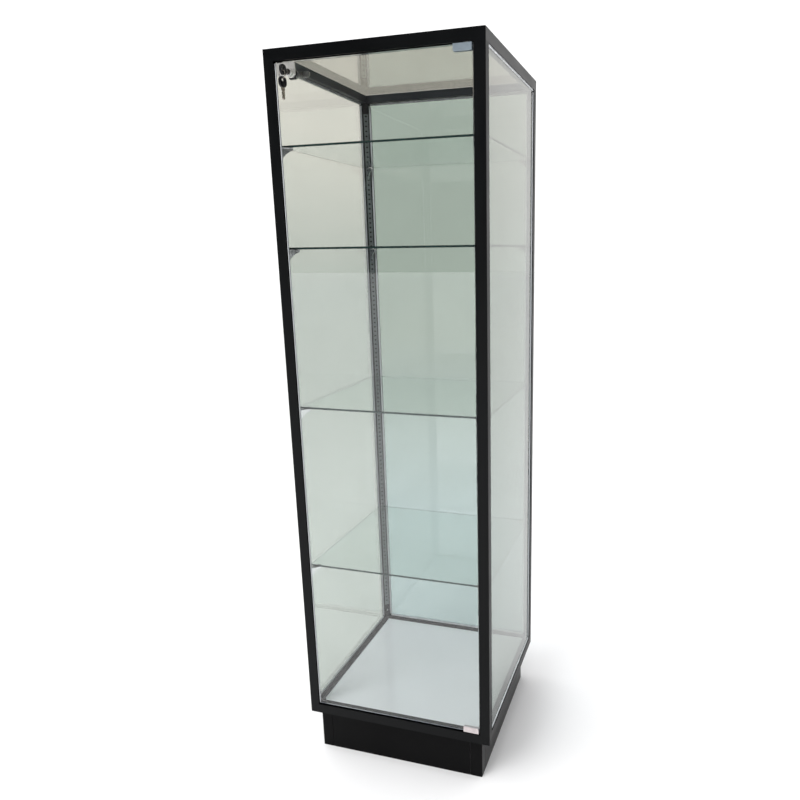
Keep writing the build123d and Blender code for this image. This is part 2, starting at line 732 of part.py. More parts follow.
def hinge_set_screws():
    """Socket set screws that clamp the clips on the glass, as separate solids."""
    socket_radius, socket_depth = 1.1, 1.2
    plate_back = GLASS_BACK + PAD + CLIP_PLATE
    with BuildPart() as group:
        for end, out in ((DOOR_TOP, 1), (DOOR_BOTTOM, -1)):
            places = set_screw_places(end, out)
            with BuildSketch(Plane.XZ.offset(-plate_back)):
                with Locations(*places):
                    Circle(SET_SCREW_RADIUS - 0.05)
            extrude(amount=CLIP_PLATE)
            with BuildSketch(Plane.XZ.offset(-plate_back)):
                with Locations(*places):
                    RegularPolygon(socket_radius, 6)
            extrude(amount=socket_depth, mode=Mode.SUBTRACT)
    return group


def hinge_pins():
    """The two pivot pins, each with a thrust collar, as separate solids."""
    with BuildPart() as group:
        for end, out in ((DOOR_TOP, 1), (DOOR_BOTTOM, -1)):
            with BuildSketch(Plane.XY.offset(end)):
                with Locations((PIVOT_X, PIVOT_Y)):
                    Circle(PIN_RADIUS)
            extrude(amount=out * (DOOR_END_GAP + PIN_REACH))
            with BuildSketch(Plane.XY.offset(end + out * CLIP_BRIDGE)):
                with Locations((PIVOT_X, PIVOT_Y)):
                    Circle(COLLAR_RADIUS)
            extrude(amount=out * COLLAR_THICKNESS)
    return group


def hinge_bushes():
    """Plastic bushes in the front rails' grooves, which the pins turn in, as separate solids."""
    half_width = GROOVE_WIDTH / 2 - 0.1
    with BuildPart() as group:
        for face, inward in ((POST_TOP, 1), (POST_BOTTOM, -1)):
            with BuildSketch(Plane.XY.offset(face)):
                with Locations((PIVOT_X, PIVOT_Y)):
                    Rectangle(BUSH_LENGTH, 2 * half_width)
                    Circle(BUSH_RADIUS, mode=Mode.SUBTRACT)
            extrude(amount=inward * GROOVE_DEPTH)
    return group


def door_stops():
    """Two small blocks on the rails that the closed door rests against, as separate solids."""
    width, depth, reach, centre_x = 11.0, 9.0, 9.0, -219.5
    start = GLASS_BACK + 0.4
    with BuildPart() as group:
        for face, inward in ((POST_TOP, -1), (POST_BOTTOM, 1)):
            with BuildSketch(Plane.XY.offset(face)):
                with Locations((centre_x, start + depth / 2)):
                    RectangleRounded(width, depth, 1.5)
            extrude(amount=inward * reach)
    return group


def lock_plane(depth):
    """Upright plane square to the lock's axis and centred on it, looking out of the case."""
    return Plane(origin=(LOCK_X, depth, LOCK_Z), x_dir=(1, 0, 0), z_dir=(0, -1, 0))


def lock_housing():
    """The lock's body: a plate on the door's face, and a barrel through the glass."""
    left = LOCK_PLATE_X - LOCK_PLATE_WIDTH / 2
    top = DOOR_TOP - LOCK_PLATE_DROP
    with BuildPart() as body:
        with BuildSketch(Plane.XZ.offset(-GLASS_FRONT)) as outline:
            block(left, left + LOCK_PLATE_WIDTH, top - LOCK_PLATE_HEIGHT, top)
            fillet(outline.vertices(), LOCK_PLATE_CORNER)
            with Locations((LOCK_X, LOCK_Z)):
                Circle(LOBE_RADIUS)
        extrude(amount=LOCK_PLATE)
        chamfer(body.faces().sort_by(Axis.Y)[0].edges(), 0.6)
        with BuildSketch(lock_plane(BARREL_BACK)):
            Circle(BARREL_RADIUS)
        extrude(amount=BARREL_BACK - BARREL_FRONT)
        fillet(body.edges().filter_by(GeomType.CIRCLE).group_by(Axis.Y)[0], 1.2)
        with BuildSketch(lock_plane(BARREL_BACK)):
            Circle(PLUG_RADIUS + PLUG_CLEARANCE)
        extrude(amount=BARREL_BACK - BARREL_FRONT, mode=Mode.SUBTRACT)
    return body


def lock_nut():
    """The hexagon nut that draws the lock onto the glass from behind."""
    with BuildPart() as body:
        with BuildSketch(lock_plane(GLASS_BACK + NUT_GAP)):
            RegularPolygon(NUT_ACROSS / 2, 6, major_radius=False)
            Circle(BARREL_RADIUS + 0.02, mode=Mode.SUBTRACT)
        extrude(amount=-NUT_THICKNESS)
    return body


def lock_plug():
    """The turning plug, with its keyway and a square end for the cam."""
    thread_depth = 8.0
    with BuildPart() as body:
        with BuildSketch(lock_plane(PLUG_SHOULDER)):
            Circle(PLUG_RADIUS)
        extrude(amount=PLUG_SHOULDER - PLUG_FRONT)
        with BuildSketch(lock_plane(PLUG_SHOULDER)):
            Rectangle(CAM_SQUARE, CAM_SQUARE)
        extrude(amount=-CAM_PLATE)
        with BuildSketch(lock_plane(PLUG_FRONT)):
            Rectangle(BLADE_THICKNESS + 0.4, BLADE_WIDTH + 0.6)
        extrude(amount=-KEY_SLOT_DEPTH, mode=Mode.SUBTRACT)
        with BuildSketch(lock_plane(PLUG_SHOULDER + CAM_PLATE)):
            Circle(CAM_SCREW_RADIUS + 0.05)
        extrude(amount=thread_depth, mode=Mode.SUBTRACT)
    return body


def lock_cam():
    """The cam on the plug's end: clear of the frame at rest, up behind the rail after a quarter turn."""
    with BuildPart() as body:
        with BuildSketch(lock_plane(PLUG_SHOULDER)):
            with Locations(((CAM_LENGTH - CAM_WIDTH / 2) / 2, 0)):
                SlotOverall(CAM_LENGTH + CAM_WIDTH / 2, CAM_WIDTH)
            Rectangle(CAM_SQUARE, CAM_SQUARE, mode=Mode.SUBTRACT)
        extrude(amount=-CAM_PLATE)
    return body


def cam_screw():
    """The screw that holds the cam on the plug."""
    length, head_radius, head_height, head_round = 8.0, 4.2, 2.2, 1.0
    face = PLUG_SHOULDER + CAM_PLATE
    with BuildPart() as body:
        with BuildSketch(lock_plane(face)):
            Circle(CAM_SCREW_RADIUS)
        extrude(amount=length)
        with BuildSketch(lock_plane(face)):
            Circle(head_radius)
        extrude(amount=-head_height)
        fillet(body.edges().filter_by(GeomType.CIRCLE).group_by(Axis.Y)[-1], head_round)
        cross_slot(lock_plane(face + head_height).rotated((180, 0, 0)), depth=1.0, length=4.6)
    return body


def lock_key_plane():
    """The key in the lock: X runs from the head's near end out to its far end, Y up."""
    near_end = PLUG_FRONT + BLADE_IN_PLUG - BLADE_LENGTH
    return Plane(origin=(LOCK_X, near_end, LOCK_Z), x_dir=(0, -1, 0), z_dir=(1, 0, 0))


def ring_axis():
    """The ring wire's direction where it passes through the two keys' holes."""
    return Vector(1, 0, 0).rotate(Axis.Z, RING_TURN)


def ring_top():
    """Centre of the ring's wire inside the hole of the key in the lock."""
    hole = lock_key_plane().from_local_coords((HEAD_LENGTH - HEAD_HOLE_FROM_END, 0, 0))
    return hole - Vector(0, 0, RING_SLACK)


def ring_bottom():
    """Centre of the ring's wire inside the spare key's hole."""
    return ring_top() - Vector(0, 0, 2 * RING_RADIUS)


def spare_key_plane():
    """The hanging key: X runs from the head's near end up to its hole, Y sideways."""
    hole_to_near_end = HEAD_LENGTH - HEAD_HOLE_FROM_END
    origin = ring_bottom() - Vector(0, 0, RING_SLACK + hole_to_near_end)
    return Plane(origin=origin, x_dir=(0, 0, 1), z_dir=ring_axis())


def key_blade(plane):
    """A flat key's blade and tang, lying in the given plane, with its cuts and a pointed tip."""
    point_length, shoulder_length, shoulder = 3.0, 6.0, 1.0
    first_cut, cut_pitch, cut_width = 9.5, 3.4, 1.6
    half = BLADE_WIDTH / 2
    with BuildPart() as body:
        with BuildSketch(plane):
            with BuildLine():
                Polyline(
                    (-BLADE_LENGTH, 0),
                    (-BLADE_LENGTH + point_length, half),
                    (TANG, half),
                    (TANG, -half),
                    (-BLADE_LENGTH + point_length, -half),
                    close=True,
                )
            make_face()
            block(-shoulder_length, 0, -half - shoulder, half + shoulder)
            for cut, depth in enumerate((1.4, 0.8, 1.8, 1.1)):
                with Locations((-first_cut - cut_pitch * cut, half)):
                    Rectangle(cut_width, 2 * depth, mode=Mode.SUBTRACT)
        extrude(amount=BLADE_THICKNESS / 2, both=True)
    return body


def key_head(plane):
    """A key's moulded head, with the hole for the ring and a pocket that holds the tang."""
    with BuildPart() as body:
        with BuildSketch(plane):
            with Locations((HEAD_LENGTH / 2, 0)):
                RectangleRounded(HEAD_LENGTH, HEAD_WIDTH, HEAD_CORNER)
            with Locations((HEAD_LENGTH - HEAD_HOLE_FROM_END, 0)):
                Circle(HEAD_HOLE_RADIUS, mode=Mode.SUBTRACT)
        extrude(amount=HEAD_THICKNESS / 2, both=True)
        chamfer(body.edges().filter_by(is_ring_hole_rim), 0.6)
        with BuildSketch(plane):
            block(0, TANG, -BLADE_WIDTH / 2, BLADE_WIDTH / 2)
        extrude(amount=BLADE_THICKNESS / 2, both=True, mode=Mode.SUBTRACT)
    return body


def is_ring_hole_rim(edge):
    """True for the rims of the hole in a key's head."""
    return edge.geom_type == GeomType.CIRCLE and edge.radius < HEAD_HOLE_RADIUS + 0.1


def key_ring():
    """The wire ring that joins the two keys."""
    centre = ring_top() - Vector(0, 0, RING_RADIUS)
    axis = ring_axis()
    with BuildPart() as body:
        with BuildSketch(Plane(origin=ring_top(), x_dir=(0, 0, 1), z_dir=axis)):
            Circle(RING_WIRE)
        normal = axis.cross(Vector(0, 0, 1))
        revolve(axis=Axis(centre, normal), revolution_arc=360)
    return body


def build_frame():
    """Writes the frame, its glass and everything fixed to it."""
    for corner, name in enumerate(CORNERS):
        save(post(corner), f"post_{name}")
        save(standard(corner), f"standard_{name}")
    for side, name in enumerate(SIDES):
        save(bottom_rail(side), f"bottom_rail_{name}")
        save(top_rail(side), f"top_rail_{name}")
        if name != "front":
            save(wall_glass(side), f"glass_{name}")
            save(wall_gasket(side), f"gasket_{name}")
    save(top_glass(), "glass_top")
    save(top_seal(), "gasket_top")
    save(corner_connectors(), "corner_connectors")
    save(connector_screws(), "connector_screws")
    save(hinge_bushes(), "hinge_bushes")
    save(door_stops(), "door_stops")


def build_base_and_shelves():
    """Writes the kick base, the deck, the shelves and their brackets."""
    for side, name in enumerate(SIDES):
        save(base_board(side), f"base_{name}")
    save(base_corners(), "base_corners")
    save(base_blocks(), "base_blocks")
    save(base_screws(), "base_screws")
    save(deck(), "deck")
    for name in SHELF_SLOTS:
        save(shelf(name), name)
        save(brackets(name), f"{name}_brackets")


def build_door_and_lock():
    """Writes the door, its pivots, the lock and the keys."""
    save(door_glass(), "door_glass")
    save(hinge_clip(DOOR_TOP, 1), "hinge_clip_top")
    save(hinge_clip(DOOR_BOTTOM, -1), "hinge_clip_bottom")
    save(hinge_pads(), "hinge_pads")
    save(hinge_set_screws(), "hinge_set_screws")
    save(hinge_pins(), "hinge_pins")
    save(lock_housing(), "lock_housing")
    save(lock_nut(), "lock_nut")
    save(lock_plug(), "lock_plug")
    save(lock_cam(), "lock_cam")
    save(cam_screw(), "cam_screw")
    save(key_blade(lock_key_plane()), "key_blade")
    save(key_head(lock_key_plane()), "key_head")
    save(key_ring(), "key_ring")
    save(key_blade(spare_key_plane()), "spare_key_blade")
    save(key_head(spare_key_plane()), "spare_key_head")


os.makedirs("parts", exist_ok=True)
build_frame()
build_base_and_shelves()
build_door_and_lock()
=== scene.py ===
import math

import bpy
from mathutils import Matrix, Vector


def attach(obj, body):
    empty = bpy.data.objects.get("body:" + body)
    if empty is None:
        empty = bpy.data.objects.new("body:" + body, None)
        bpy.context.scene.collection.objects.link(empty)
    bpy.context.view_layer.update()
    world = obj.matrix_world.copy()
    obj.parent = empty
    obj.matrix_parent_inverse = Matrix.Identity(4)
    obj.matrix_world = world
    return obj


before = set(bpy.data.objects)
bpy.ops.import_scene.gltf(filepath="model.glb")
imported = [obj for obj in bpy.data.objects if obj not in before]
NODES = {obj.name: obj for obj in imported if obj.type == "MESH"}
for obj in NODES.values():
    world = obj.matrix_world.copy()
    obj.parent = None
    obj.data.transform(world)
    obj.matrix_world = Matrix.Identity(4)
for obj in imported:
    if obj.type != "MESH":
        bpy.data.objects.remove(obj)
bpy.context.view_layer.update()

CORNERS = ("front_left", "front_right", "rear_right", "rear_left")
SIDES = ("front", "right", "rear", "left")
SHELVES = ("shelf_1", "shelf_2", "shelf_3", "shelf_4")
X_AXIS, Y_AXIS, Z_AXIS = range(3)
MM = 0.001


# ---- Camera: where the photograph was taken from
CAMERA_PLACE = (0.6574, -1.7221, 1.3466)
YAW = math.radians(17.185)  # turned to the left of straight ahead
PITCH = math.radians(13.667)  # tipped down
ROLL = math.radians(-0.764)
LENS = 31.3  # millimetres, on a sensor 36 mm wide
SENSOR_WIDTH = 36
FRAME_SHIFT = (-0.0828, 0.0233)


def make_camera():
    """The photograph's viewpoint, angle of view and framing."""
    forward = Vector(
        (-math.sin(YAW) * math.cos(PITCH), math.cos(YAW) * math.cos(PITCH), -math.sin(PITCH))
    )
    right = Vector((math.cos(YAW), math.sin(YAW), 0))
    up = right.cross(forward)
    rolled_right = math.cos(ROLL) * right + math.sin(ROLL) * up
    rolled_up = math.cos(ROLL) * up - math.sin(ROLL) * right
    data = bpy.data.cameras.new("camera")
    data.sensor_width = SENSOR_WIDTH
    data.lens = LENS
    data.shift_x, data.shift_y = FRAME_SHIFT
    camera = bpy.data.objects.new("camera", data)
    camera.matrix_world = Matrix.Translation(CAMERA_PLACE) @ Matrix(
        (rolled_right, rolled_up, -forward)
    ).transposed().to_4x4()
    bpy.context.scene.collection.objects.link(camera)
    bpy.context.scene.camera = camera


# ---- Studio: pale floor and soft light
FLOOR_HALF = 40.0
DARK_SIDE = 0.12  # brightness of the unlit room in front of the case
PALE_SIDE = 1.2  # brightness of the wall behind it
CEILING = 1.5  # brightness of the pale ceiling overhead
SUN_POWER = 1.5
SUN_DIRECTION = (-0.55, -0.45, 1.0)
SUN_SPREAD = 70  # degrees
LAMP_PLACE = (-1.4, -2.8, 2.6)
LAMP_TARGET = (0, -0.6, 0.2)
LAMP_SIZE = 2.2
LAMP_POWER = 62  # watts
LIGHT_BOUNCES = 24  # enough for light to pass both faces of every pane and shelf
SHADOW_BOUNCES = 32


def make_studio():
    """A plain floor, a pale wall behind, a dim room in front, and soft light from above."""
    scene = bpy.context.scene
    scene.view_settings.view_transform = "Standard"
    scene.cycles.max_bounces = LIGHT_BOUNCES
    scene.cycles.transmission_bounces = LIGHT_BOUNCES
    scene.cycles.transparent_max_bounces = SHADOW_BOUNCES
    make_surround(scene)
    soft_sun("overhead_light", SUN_DIRECTION, SUN_SPREAD, SUN_POWER)
    soft_lamp("front_lamp", LAMP_PLACE, LAMP_TARGET, LAMP_SIZE, LAMP_POWER)
    make_floor()


def make_floor():
    """A wide sheet of pale paper under the case."""
    half = FLOOR_HALF
    mesh = bpy.data.meshes.new("floor")
    mesh.from_pydata(
        [(-half, -half, 0), (half, -half, 0), (half, half, 0), (-half, half, 0)], [], [(0, 1, 2, 3)]
    )
    floor = bpy.data.objects.new("floor", mesh)
    bpy.context.scene.collection.objects.link(floor)
    floor.data.materials.append(plain_floor())


def make_surround(scene):
    """The room: pale behind the case, dim in front of it, so that dark faces stay dark."""
    world = bpy.data.worlds.new("surround")
    scene.world = world
    world.use_nodes = True
    tree = world.node_tree
    coords = tree.nodes.new("ShaderNodeTexCoord")
    parts = tree.nodes.new("ShaderNodeSeparateXYZ")
    tree.links.new(coords.outputs["Generated"], parts.inputs["Vector"])
    around = spread(tree, parts.outputs["Y"], DARK_SIDE, PALE_SIDE, -0.35, 0.45)
    above = spread(tree, parts.outputs["Z"], 0.0, CEILING, 0.70, 0.88)
    brightest = tree.nodes.new("ShaderNodeMath")
    brightest.operation = "MAXIMUM"
    tree.links.new(around, brightest.inputs[0])
    tree.links.new(above, brightest.inputs[1])
    tree.links.new(brightest.outputs["Value"], tree.nodes["Background"].inputs["Strength"])
    tree.nodes["Background"].inputs["Color"].default_value = (1.0, 1.0, 1.0, 1)


def soft_sun(name, direction, spread_degrees, power):
    """Even light from a wide patch of ceiling in a direction."""
    data = bpy.data.lights.new(name, "SUN")
    data.angle = math.radians(spread_degrees)
    data.energy = power
    lamp = hidden_lamp(name, data)
    lamp.rotation_euler = Vector(direction).to_track_quat("Z", "Y").to_euler()


def soft_lamp(name, place, target, size, power):
    """A square area lamp that faces a point."""
    data = bpy.data.lights.new(name, "AREA")
    data.size = size
    data.energy = power
    lamp = hidden_lamp(name, data)
    lamp.location = place
    lamp.rotation_euler = (Vector(target) - Vector(place)).to_track_quat("-Z", "Y").to_euler()


def hidden_lamp(name, data):
    """A light that shows neither as a reflection nor through the glass."""
    lamp = bpy.data.objects.new(name, data)
    lamp.visible_glossy = False
    lamp.visible_transmission = False
    bpy.context.scene.collection.objects.link(lamp)
    return lamp


# ---- Node helpers
def new_material(name):
    """An empty node material; returns it with its tree, its Principled shader and its output."""
    mat = bpy.data.materials.new(name)
    mat.use_nodes = True
    tree = mat.node_tree
    return mat, tree, tree.nodes["Principled BSDF"], tree.nodes["Material Output"]


def noise(tree, scale, stretch=(1, 1, 1), detail=4.0, roughness=0.5):
    """Noise over the object's own space, stretched along an axis by a small factor there."""
    coords = tree.nodes.new("ShaderNodeTexCoord")
    mapping = tree.nodes.new("ShaderNodeMapping")
    mapping.inputs["Scale"].default_value = stretch
    texture = tree.nodes.new("ShaderNodeTexNoise")
    texture.inputs["Scale"].default_value = scale
    texture.inputs["Detail"].default_value = detail
    texture.inputs["Roughness"].default_value = roughness
    tree.links.new(coords.outputs["Object"], mapping.inputs["Vector"])
    tree.links.new(mapping.outputs["Vector"], texture.inputs["Vector"])
    return texture.outputs["Fac"]


def spread(tree, value, low, high, start=0.3, stop=0.7):
    """Maps a 0 to 1 value onto low to high."""
    ranged = tree.nodes.new("ShaderNodeMapRange")
    ranged.inputs["From Min"].default_value = start
    ranged.inputs["From Max"].default_value = stop
    ranged.inputs["To Min"].default_value = low
    ranged.inputs["To Max"].default_value = high
    tree.links.new(value, ranged.inputs["Value"])
    return ranged.outputs["Result"]


def two_colours(tree, value, first, second, start=0.3, stop=0.7):
    """Blends two colours by a value."""
    ramp = tree.nodes.new("ShaderNodeValToRGB")
    ramp.color_ramp.elements[0].position = start
    ramp.color_ramp.elements[0].color = (*first, 1)
    ramp.color_ramp.elements[1].position = stop
    ramp.color_ramp.elements[1].color = (*second, 1)
    tree.links.new(value, ramp.inputs["Fac"])
    return ramp.outputs["Color"]


def bump(tree, shader, height, distance, strength=1.0, under=None):
    """Adds a bump of a height in metres to a shader, over an earlier bump if there is one."""
    node = tree.nodes.new("ShaderNodeBump")
    node.inputs["Distance"].default_value = distance
    node.inputs["Strength"].default_value = strength
    tree.links.new(height, node.inputs["Height"])
    if under is not None:
        tree.links.new(under, node.inputs["Normal"])
    tree.links.new(node.outputs["Normal"], shader.inputs["Normal"])
    return node.outputs["Normal"]


def along(axis, factor=0.02):
    """The stretch of a texture whose lines run along an axis."""
    return tuple(factor if i == axis else 1.0 for i in range(3))


# ---- Materials
def plain_floor():
    """Seamless pale paper."""
    mat, tree, shader, _ = new_material("floor_paper")
    colour = two_colours(tree, noise(tree, 3.0), (0.86, 0.86, 0.865), (0.88, 0.88, 0.885))
    tree.links.new(colour, shader.inputs["Base Color"])
    shader.inputs["Roughness"].default_value = 0.8
    shader.inputs["Specular IOR Level"].default_value = 0.0
    return mat


def black_anodised(name, axis, sheen=0.0, painted_light_factor=1.0):
    """Black anodised extrusion with faint drawn lines along its length; a factor above one lightens its
    colour as painted light.
    """
    mat, tree, shader, _ = new_material(name)
    lines = noise(tree, 900.0, along(axis, 0.004), 3.0)
    patches = noise(tree, 14.0, along(axis, 0.3), 5.0)
    dark = tuple(painted_light_factor * c for c in (0.0016, 0.0019, 0.0022))
    light = tuple(painted_light_factor * c for c in (0.0040, 0.0045, 0.0050))
    colour = two_colours(tree, patches, dark, light)
    tree.links.new(colour, shader.inputs["Base Color"])
    tree.links.new(spread(tree, patches, 0.32, 0.46), shader.inputs["Roughness"])
    shader.inputs["Specular IOR Level"].default_value = 0.12
    shader.inputs["Sheen Weight"].default_value = sheen
    shader.inputs["Sheen Roughness"].default_value = 0.2
    shader.inputs["Sheen Tint"].default_value = (1.0, 0.90, 0.82, 1)
    under = bump(tree, shader, lines, 0.00003, 0.5)
    bump(tree, shader, noise(tree, 3500.0, detail=2.0), 0.00002, 0.4, under)
    return mat


def black_casting():
    """Black painted die casting, with the grain of the casting under the paint."""
    mat, tree, shader, _ = new_material("black_casting")
    grain = noise(tree, 700.0, detail=6.0)
    colour = two_colours(tree, grain, (0.004, 0.004, 0.005), (0.009, 0.009, 0.010))
    tree.links.new(colour, shader.inputs["Base Color"])
    tree.links.new(spread(tree, grain, 0.38, 0.6), shader.inputs["Roughness"])
    bump(tree, shader, grain, 0.0002, 0.6)
    return mat


def up_the_pane(tree, low_tint, high_tint, start, stop):
    """A tint that changes slowly from one height of the case to another, faintly smeared."""
    geometry = tree.nodes.new("ShaderNodeNewGeometry")
    parts = tree.nodes.new("ShaderNodeSeparateXYZ")
    tree.links.new(geometry.outputs["Position"], parts.inputs["Vector"])
    height = spread(tree, parts.outputs["Z"], 0.0, 1.0, start, stop)
    tint = two_colours(tree, height, low_tint, high_tint, 0.0, 1.0)
    smears = two_colours(tree, noise(tree, 6.0, detail=6.0), (0.965, 0.965, 0.965), (1.0, 1.0, 1.0))
    smeared = tree.nodes.new("ShaderNodeVectorMath")
    smeared.operation = "MULTIPLY"
    tree.links.new(tint, smeared.inputs[0])
    tree.links.new(smears, smeared.inputs[1])
    return smeared.outputs["Vector"]


EDGE_FACE_LIMIT = 0.6  # how far a face may look along the axis and still be an edge


def is_edge_face(tree, axis):
    """One on faces that do not look along an axis, else nought."""
    geometry = tree.nodes.new("ShaderNodeNewGeometry")
    parts = tree.nodes.new("ShaderNodeSeparateXYZ")
    size = tree.nodes.new("ShaderNodeMath")
    size.operation = "ABSOLUTE"
    is_edge = tree.nodes.new("ShaderNodeMath")
    is_edge.operation = "LESS_THAN"
    is_edge.inputs[1].default_value = EDGE_FACE_LIMIT
    tree.links.new(geometry.outputs["Normal"], parts.inputs["Vector"])
    tree.links.new(parts.outputs[axis], size.inputs[0])
    tree.links.new(size.outputs["Value"], is_edge.inputs[0])
    return is_edge.outputs["Value"]


CLEAR_IOR = 1.5  # glass and vinyl alike
SHADOW_TINT = (0.97, 0.98, 0.985, 1)  # what a pane takes out of the light that lands beyond it


def mixed(tree, factor, first, second):
    """One shader where the factor is nought, another where it is one."""
    mix = tree.nodes.new("ShaderNodeMixShader")
    tree.links.new(factor, mix.inputs["Fac"])
    tree.links.new(first, mix.inputs[1])
    tree.links.new(second, mix.inputs[2])
    return mix.outputs["Shader"]


def glass_edge(tree, colour):
    """The polished edge of a pane: its own colour, seen through the length of the glass."""
    edge = tree.nodes.new("ShaderNodeBsdfPrincipled")
    dark = tuple(0.55 * c for c in colour)
    streaks = noise(tree, 160.0, detail=3.0)
    tree.links.new(two_colours(tree, streaks, dark, colour), edge.inputs["Base Color"])
    edge.inputs["Roughness"].default_value = 0.12
    edge.inputs["Specular IOR Level"].default_value = 0.15
    edge.inputs["Coat Weight"].default_value = 0.15
    edge.inputs["Coat Roughness"].default_value = 0.03
    return edge.outputs["BSDF"]


def clear_glass(name, axis, edge_colour, low_tint, high_tint=None, start=0.5, stop=1.1):
    """Float glass, clear through the faces that look along an axis and coloured at its edges."""
    mat, tree, shader, output = new_material(name)
    haze = noise(tree, 6.0, detail=6.0)
    tint = up_the_pane(tree, low_tint, high_tint or low_tint, start, stop)
    tree.links.new(tint, shader.inputs["Base Color"])
    shader.inputs["Transmission Weight"].default_value = 1.0
    shader.inputs["IOR"].default_value = CLEAR_IOR
    tree.links.new(spread(tree, haze, 0.0, 0.001, 0.45, 0.8), shader.inputs["Roughness"])
    clear = tree.nodes.new("ShaderNodeBsdfTransparent")
    clear.inputs["Color"].default_value = SHADOW_TINT
    path = tree.nodes.new("ShaderNodeLightPath")
    pane = mixed(tree, path.outputs["Is Shadow Ray"], shader.outputs["BSDF"], clear.outputs["BSDF"])
    edge = glass_edge(tree, edge_colour)
    tree.links.new(mixed(tree, is_edge_face(tree, axis), pane, edge), output.inputs["Surface"])
    return mat


def clear_vinyl(name, axis):
    """Clear flexible vinyl channel: milky where it doubles up, with fine lines from the extruder."""
    mat, tree, shader, _ = new_material(name)
    lines = noise(tree, 1400.0, along(axis, 0.003), 2.0)
    cloud = noise(tree, 40.0, along(axis, 0.2), 4.0)
    colour = two_colours(tree, cloud, (0.74, 0.76, 0.79), (0.86, 0.88, 0.90))
    tree.links.new(colour, shader.inputs["Base Color"])
    tree.links.new(spread(tree, cloud, 0.16, 0.32), shader.inputs["Roughness"])
    shader.inputs["Transmission Weight"].default_value = 0.12
    shader.inputs["IOR"].default_value = CLEAR_IOR
    shader.inputs["Subsurface Weight"].default_value = 0.2
    shader.inputs["Subsurface Radius"].default_value = (0.002, 0.002, 0.002)
    bump(tree, shader, lines, 0.00006, 0.6)
    return mat


def satin_metal(name, colour, roughness, axis=Z_AXIS, metallic=1.0):
    """Satin plated sheet, brushed along an axis, with faint blooms in the plating."""
    mat, tree, shader, _ = new_material(name)
    brushed = noise(tree, 1600.0, along(axis, 0.01), 3.0)
    bloom = noise(tree, 55.0, detail=5.0)
    darker = tuple(0.8 * c for c in colour)
    tree.links.new(two_colours(tree, bloom, darker, colour), shader.inputs["Base Color"])
    tree.links.new(spread(tree, brushed, roughness - 0.08, roughness + 0.1), shader.inputs["Roughness"])
    shader.inputs["Metallic"].default_value = metallic
    bump(tree, shader, brushed, 0.00002, 0.5)
    return mat


def bright_metal(name, colour, roughness, metallic=1.0):
    """Polished plating with fine scratches and a little haze from handling."""
    mat, tree, shader, _ = new_material(name)
    haze = noise(tree, 120.0, detail=6.0)
    scratches = noise(tree, 2500.0, (1, 0.05, 0.4), 2.0)
    darker = tuple(0.88 * c for c in colour)
    tree.links.new(two_colours(tree, haze, darker, colour), shader.inputs["Base Color"])
    tree.links.new(spread(tree, haze, roughness, roughness + 0.14), shader.inputs["Roughness"])
    shader.inputs["Metallic"].default_value = metallic
    bump(tree, shader, scratches, 0.000008, 0.4)
    return mat


def laminate(name, first, second, roughness, specular, coat=0.0, sheen=0.0):
    """Melamine-faced board: a fine pebbled surface with a soft sheen."""
    mat, tree, shader, _ = new_material(name)
    pebble = noise(tree, 1100.0, detail=3.0)
    cloud = noise(tree, 5.0, detail=6.0)
    tree.links.new(two_colours(tree, cloud, first, second), shader.inputs["Base Color"])
    tree.links.new(spread(tree, cloud, roughness - 0.05, roughness + 0.07), shader.inputs["Roughness"])
    shader.inputs["Specular IOR Level"].default_value = specular
    shader.inputs["Coat Weight"].default_value = coat
    shader.inputs["Coat Roughness"].default_value = 0.08
    shader.inputs["Sheen Weight"].default_value = sheen
    shader.inputs["Sheen Roughness"].default_value = 0.2
    bump(tree, shader, pebble, 0.00003, 0.4)
    return mat


def moulded_plastic(name, colour, roughness):
    """Dark moulded plastic with a fine spark-eroded grain."""
    mat, tree, shader, _ = new_material(name)
    grain = noise(tree, 1800.0, detail=3.0)
    lighter = tuple(1.6 * c for c in colour)
    tree.links.new(two_colours(tree, grain, colour, lighter), shader.inputs["Base Color"])
    tree.links.new(spread(tree, grain, roughness - 0.06, roughness + 0.1), shader.inputs["Roughness"])
    shader.inputs["Specular IOR Level"].default_value = 0.3
    bump(tree, shader, grain, 0.00008, 0.5)
    return mat


def raw_timber():
    """Planed softwood with growth rings."""
    mat, tree, shader, _ = new_material("raw_timber")
    coords = tree.nodes.new("ShaderNodeTexCoord")
    rings = tree.nodes.new("ShaderNodeTexWave")
    rings.wave_type = "RINGS"
    rings.rings_direction = "Z"
    rings.inputs["Scale"].default_value = 45.0
    rings.inputs["Distortion"].default_value = 3.0
    rings.inputs["Detail"].default_value = 3.0
    tree.links.new(coords.outputs["Object"], rings.inputs["Vector"])
    colour = two_colours(tree, rings.outputs["Fac"], (0.30, 0.17, 0.08), (0.55, 0.38, 0.21), 0.1, 0.9)
    tree.links.new(colour, shader.inputs["Base Color"])
    shader.inputs["Roughness"].default_value = 0.65
    bump(tree, shader, rings.outputs["Fac"], 0.0003, 0.5)
    return mat


# ---- Pieces too fine for the CAD
def extruded(name, outline, low, high, mat):
    """An upright strip: a closed outline in plan, in metres, run from one height to another."""
    count = len(outline)
    points = [(x, y, z) for z in (low, high) for x, y in outline]
    walls = [(i, (i + 1) % count, (i + 1) % count + count, i + count) for i in range(count)]
    ends = [tuple(reversed(range(count))), tuple(range(count, 2 * count))]
    mesh = bpy.data.meshes.new(name)
    mesh.from_pydata(points, [], walls + ends)
    piece = bpy.data.objects.new(name, mesh)
    piece.data.materials.append(mat)
    bpy.context.scene.collection.objects.link(piece)
    return piece


